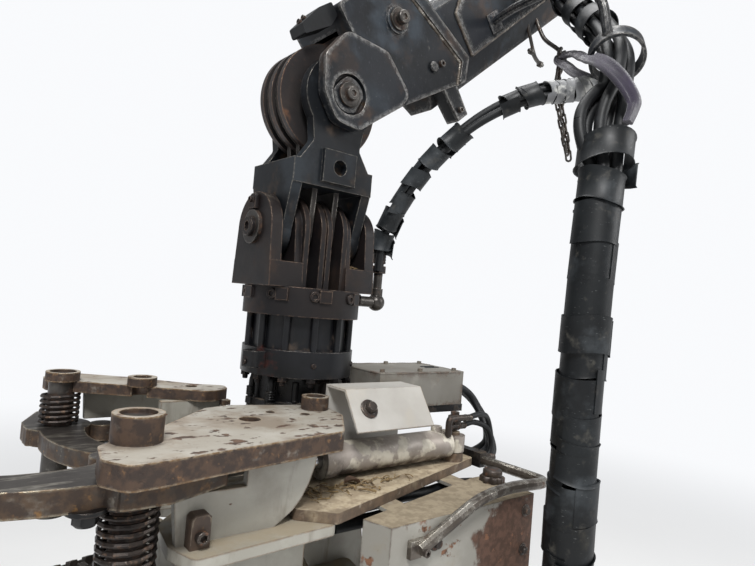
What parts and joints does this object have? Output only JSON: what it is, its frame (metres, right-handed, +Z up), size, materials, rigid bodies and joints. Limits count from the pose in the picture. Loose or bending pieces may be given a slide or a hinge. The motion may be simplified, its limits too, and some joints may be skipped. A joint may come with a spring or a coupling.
{
  "type": "harvester working head on its boom tip",
  "caption": "Tree harvester's working head on its boom tip: brake link, rotator, tilting frame, delimbing knives, feed rollers, saw box and hoses.",
  "frame": {"origin": "centre of the open inner end of the boom section, on the boom's long axis", "axes": "+Z up with the head hanging plumb, +X back along the boom towards the crane, -Y the near side; -X is the head's open front"},
  "size_m": [1.9693, 1.2171, 2.8741],
  "materials": {
    "dark_paint": "worn dark paint",
    "light_paint": "weathered pale paint",
    "box_paint": "weathered grey paint",
    "worn_steel": "rubbed and rusted",
    "greasy_iron": "greasy and dusty",
    "pin_steel": "turned",
    "rod_chrome": "polished",
    "barrel_paint": "scratched cream paint",
    "spring_steel": "dark",
    "hose_rubber": "matt, spiral wrapped",
    "pad_rubber": "matt"
  },
  "bodies": {
    "boom": {"boom_tube": "dark_paint", "tip_fork": "dark_paint", "boom_pins": "pin_steel", "boom_brake_plates": "worn_steel", "stop_pad": "pad_rubber", "hose_hook": "dark_paint", "main_hose": "hose_rubber", "rotator_hose": "hose_rubber"},
    "link": {"link_body": "dark_paint", "link_brake_plates": "worn_steel"},
    "stator": {"rotator_yoke": "greasy_iron", "rotator_drum": "greasy_iron", "lower_pin": "pin_steel", "rotator_port": "pin_steel"},
    "hanger": {"rotor": "greasy_iron", "hanger": "greasy_iron", "hose_box": "box_paint"},
    "tilt_barrel": {"tilt_barrel": "greasy_iron"},
    "tilt_rod": {"tilt_rod": "rod_chrome"},
    "frame": {"main_frame": "light_paint", "tilt_pin": "pin_steel", "near_deck": "light_paint", "far_deck": "light_paint", "near_side": "light_paint", "far_side": "light_paint", "near_shelf": "box_paint", "far_shelf": "box_paint", "cylinder_cover": "light_paint", "near_cover": "box_paint", "far_cover": "box_paint", "guard_pipe": "pin_steel", "knife_pins": "pin_steel", "near_spring": "spring_steel", "far_spring": "spring_steel", "saw_box": "light_paint", "saw_motor": "greasy_iron", "hose_manifold": "greasy_iron", "head_hoses": "hose_rubber"},
    "near_knife": {"near_knife": "worn_steel"},
    "far_knife": {"far_knife": "worn_steel"},
    "near_knife_barrel": {"near_knife_barrel": "barrel_paint"},
    "near_knife_rod": {"near_knife_rod": "rod_chrome"},
    "far_knife_barrel": {"far_knife_barrel": "barrel_paint"},
    "far_knife_rod": {"far_knife_rod": "rod_chrome"},
    "near_arm": {"near_arm": "light_paint"},
    "far_arm": {"far_arm": "light_paint"},
    "near_roller": {"near_roller": "worn_steel"},
    "far_roller": {"far_roller": "worn_steel"},
    "near_arm_barrel": {"near_arm_barrel": "barrel_paint"},
    "near_arm_rod": {"near_arm_rod": "rod_chrome"},
    "far_arm_barrel": {"far_arm_barrel": "barrel_paint"},
    "far_arm_rod": {"far_arm_rod": "rod_chrome"},
    "near_rear_knife": {"near_rear_knife": "worn_steel"},
    "far_rear_knife": {"far_rear_knife": "worn_steel"},
    "saw_bar": {"saw_bar": "worn_steel"}
  },
  "joints": [
    {"name": "link_swing", "type": "hinge", "parent": "boom", "child": "link", "pos_m": [-1.0113, 0, -0.81816], "axis": [0, -1, 0], "range_deg": [-35, 60], "deforming": ["main_hose", "rotator_hose"]},
    {"name": "link_sway", "type": "hinge", "parent": "link", "child": "stator", "pos_m": [-1.0113, 0, -1.16316], "axis": [1, 0, 0], "range_deg": [-35, 35], "deforming": ["rotator_hose", "main_hose"]},
    {"name": "rotator_turn", "type": "hinge", "parent": "stator", "child": "hanger", "pos_m": [-1.0113, 0, -1.46316], "axis": [0, 0, 1], "range_deg": [-170, 170], "deforming": ["rotator_hose", "main_hose"]},
    {"name": "head_tilt", "type": "hinge", "parent": "hanger", "child": "frame", "pos_m": [-0.9813, 0, -2.11316], "axis": [0, -1, 0], "range_deg": [0, 85], "deforming": ["head_hoses", "main_hose"]},
    {"name": "near_knife_swing", "type": "hinge", "parent": "frame", "child": "near_knife", "pos_m": [-1.4963, -0.31, -1.65116], "axis": [0, 0, 1], "range_deg": [-90, 0]},
    {"name": "far_knife_swing", "type": "hinge", "parent": "frame", "child": "far_knife", "pos_m": [-1.4963, 0.31, -1.71316], "axis": [0, 0, -1], "range_deg": [0, 90]},
    {"name": "near_arm_swing", "type": "hinge", "parent": "frame", "child": "near_arm", "pos_m": [-0.9513, -0.225, -2.16316], "axis": [0, 0, 1], "range_deg": [-2, 35]},
    {"name": "far_arm_swing", "type": "hinge", "parent": "frame", "child": "far_arm", "pos_m": [-0.9513, 0.225, -2.16316], "axis": [0, 0, -1], "range_deg": [-2, 35]},
    {"name": "near_roller_spin", "type": "hinge", "parent": "near_arm", "child": "near_roller", "pos_m": [-1.44225, -0.30665, -2.22816], "axis": [0.9744, -0.225, 0], "continuous": true},
    {"name": "far_roller_spin", "type": "hinge", "parent": "far_arm", "child": "far_roller", "pos_m": [-1.44225, 0.30665, -2.22816], "axis": [0.9744, 0.225, 0], "continuous": true},
    {"name": "near_rear_knife_swing", "type": "hinge", "parent": "frame", "child": "near_rear_knife", "pos_m": [-1.4513, -0.265, -2.45016], "axis": [0, 0, 1], "range_deg": [-45, 20]},
    {"name": "far_rear_knife_swing", "type": "hinge", "parent": "frame", "child": "far_rear_knife", "pos_m": [-1.4513, 0.265, -2.49016], "axis": [0, 0, -1], "range_deg": [-45, 20]},
    {"name": "saw_bar_swing", "type": "hinge", "parent": "frame", "child": "saw_bar", "pos_m": [-0.9513, -0.12, -2.72316], "axis": [0, 0, 1], "range_deg": [0, 100]},
    {"name": "tilt_barrel_pivot", "type": "hinge", "parent": "hanger", "child": "tilt_barrel", "pos_m": [-0.8863, 0, -1.99816], "axis": [0, -1, 0], "range_deg": [0, 76.6]},
    {"name": "tilt_rod_slide", "type": "slide", "parent": "tilt_barrel", "child": "tilt_rod", "axis": [-0.0092, 0, -1], "range_m": [-0.197, 0]},
    {"name": "near_knife_barrel_pivot", "type": "hinge", "parent": "frame", "child": "near_knife_barrel", "pos_m": [-0.6113, -0.205, -1.69316], "axis": [0, 0, 1], "range_deg": [0, 4.8]},
    {"name": "near_knife_rod_slide", "type": "slide", "parent": "near_knife_barrel", "child": "near_knife_rod", "axis": [-1, -0.0072, 0], "range_m": [-0.125, 0]},
    {"name": "far_knife_barrel_pivot", "type": "hinge", "parent": "frame", "child": "far_knife_barrel", "pos_m": [-0.6113, 0.205, -1.76716], "axis": [0, 0, -1], "range_deg": [-7.4, 0]},
    {"name": "far_knife_rod_slide", "type": "slide", "parent": "far_knife_barrel", "child": "far_knife_rod", "axis": [-0.9938, 0.1107, 0], "range_m": [0, 0.103]},
    {"name": "near_arm_barrel_pivot", "type": "hinge", "parent": "frame", "child": "near_arm_barrel", "pos_m": [-0.6813, -0.25, -2.16316], "axis": [0, 0, 1], "range_deg": [-0.9, 14.9]},
    {"name": "near_arm_rod_slide", "type": "slide", "parent": "near_arm_barrel", "child": "near_arm_rod", "axis": [-0.97, -0.2432, 0], "range_m": [-0.072, 0.005]},
    {"name": "far_arm_barrel_pivot", "type": "hinge", "parent": "frame", "child": "far_arm_barrel", "pos_m": [-0.6813, 0.25, -2.16316], "axis": [0, 0, -1], "range_deg": [-0.9, 14.9]},
    {"name": "far_arm_rod_slide", "type": "slide", "parent": "far_arm_barrel", "child": "far_arm_rod", "axis": [-0.97, 0.2432, 0], "range_m": [-0.072, 0.005]}
  ],
  "couplings": [
    {"joint": "tilt_barrel_pivot", "follows": "head_tilt", "ratio": 0.8995},
    {"joint": "tilt_rod_slide", "follows": "head_tilt", "m_per_rad": -0.13229},
    {"joint": "near_knife_barrel_pivot", "follows": "near_knife_swing", "ratio": -0.0526},
    {"joint": "near_knife_rod_slide", "follows": "near_knife_swing", "m_per_rad": 0.07923},
    {"joint": "far_knife_barrel_pivot", "follows": "far_knife_swing", "ratio": -0.0806},
    {"joint": "far_knife_rod_slide", "follows": "far_knife_swing", "m_per_rad": 0.06493},
    {"joint": "near_arm_barrel_pivot", "follows": "near_arm_swing", "ratio": 0.4227},
    {"joint": "near_arm_rod_slide", "follows": "near_arm_swing", "m_per_rad": -0.11663},
    {"joint": "far_arm_barrel_pivot", "follows": "far_arm_swing", "ratio": 0.4227},
    {"joint": "far_arm_rod_slide", "follows": "far_arm_swing", "m_per_rad": -0.11663}
  ]
}
